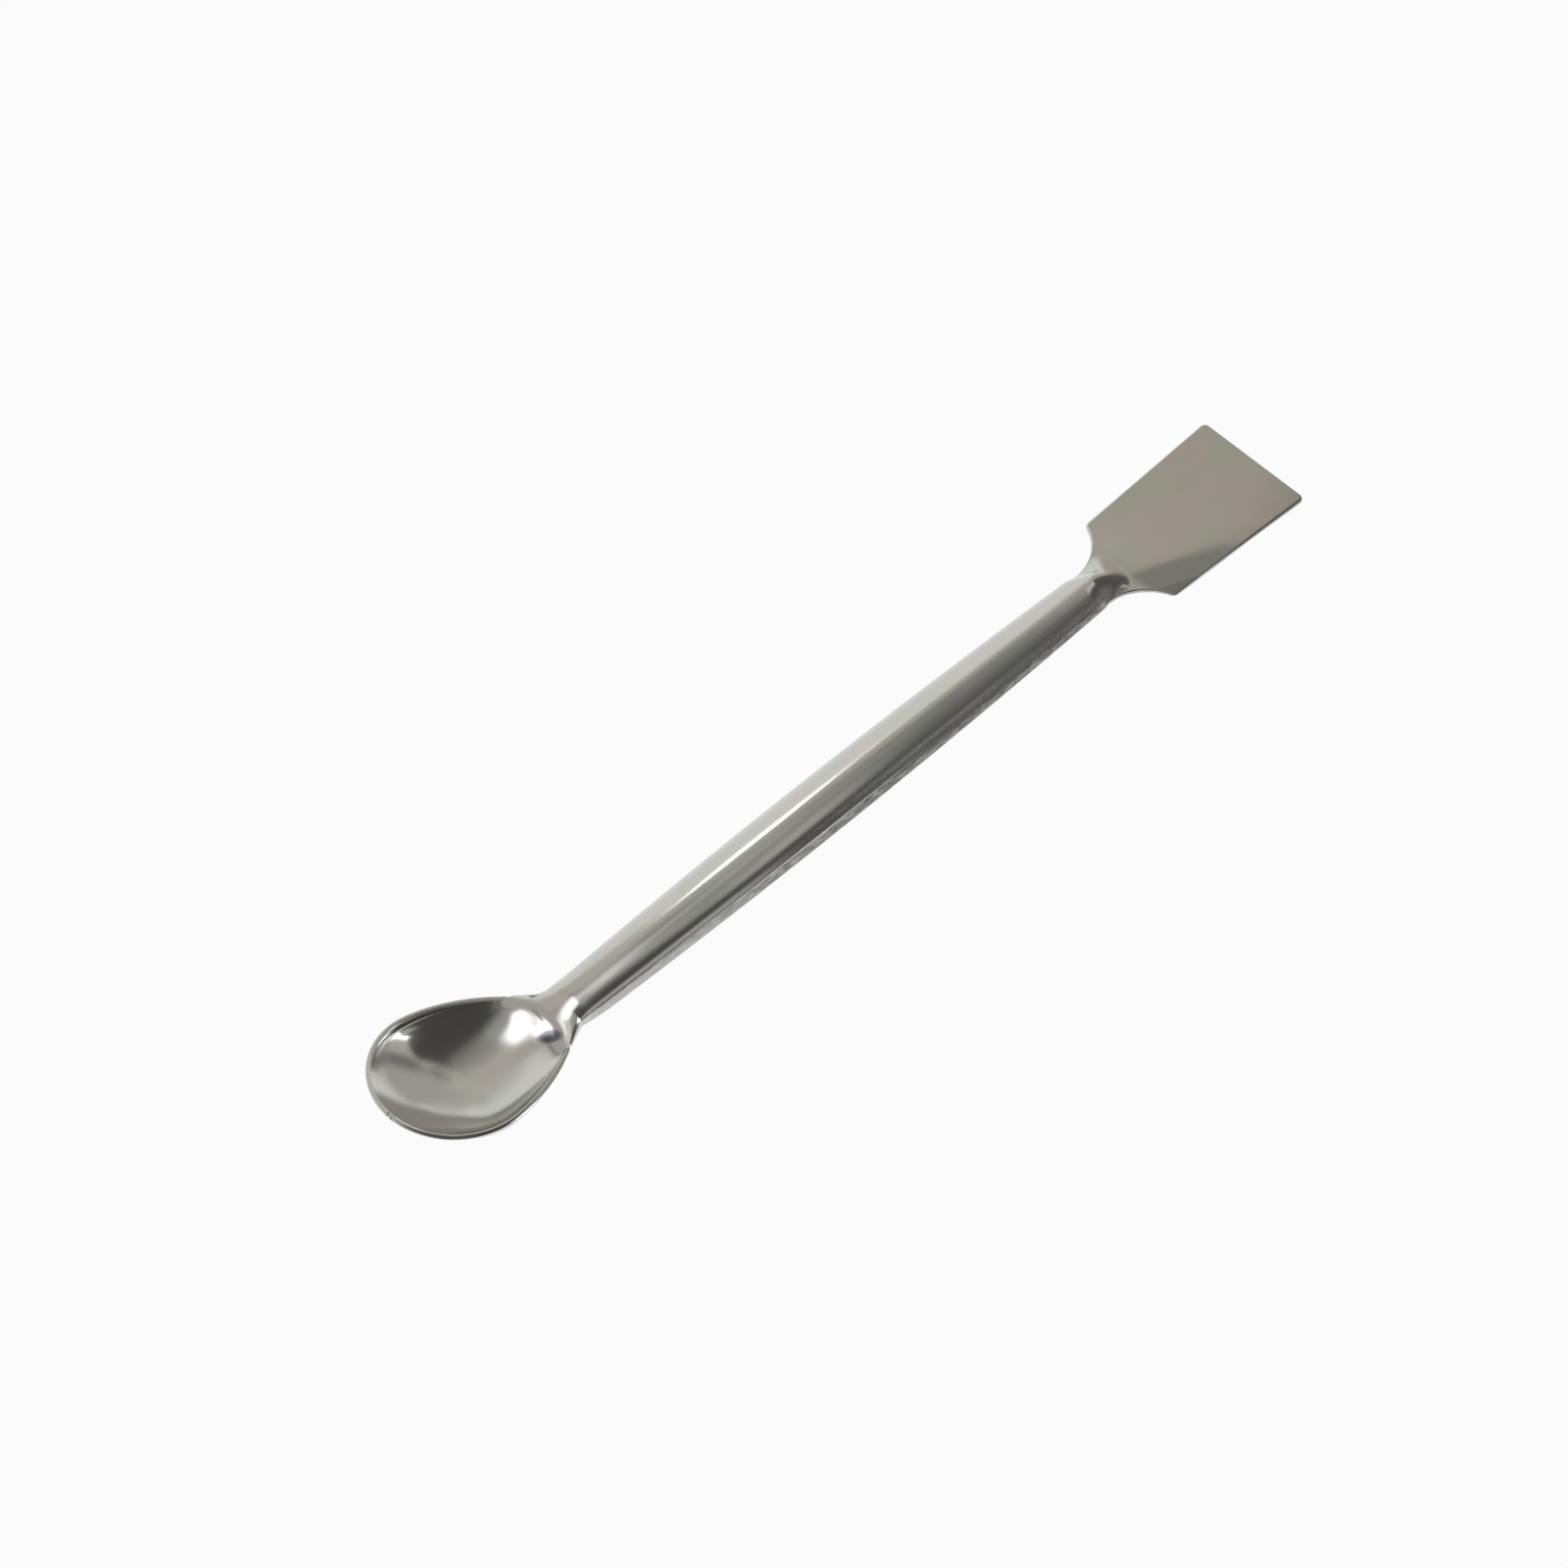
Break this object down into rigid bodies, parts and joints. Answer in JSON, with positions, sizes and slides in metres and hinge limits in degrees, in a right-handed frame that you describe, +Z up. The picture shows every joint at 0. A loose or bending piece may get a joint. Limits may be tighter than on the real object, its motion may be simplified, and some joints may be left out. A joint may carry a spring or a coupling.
{
  "type": "lab spatula",
  "caption": "Double-ended lab spatula pressed from steel sheet: egg-shaped bowl for scooping, ridged handle, flat square-ended blade.",
  "frame": {"origin": "on the bench, under the middle of the spatula's box", "axes": "+X along the handle from the bowl to the blade, +Y across it, +Z up, with the bowl's hollow and the handle's ridge facing up"},
  "size_m": [0.15, 0.0206, 0.0073],
  "materials": {
    "steel": "polished stainless steel, lightly brushed along its length"
  },
  "bodies": {
    "root": {"spatula": "steel"}
  },
  "joints": []
}
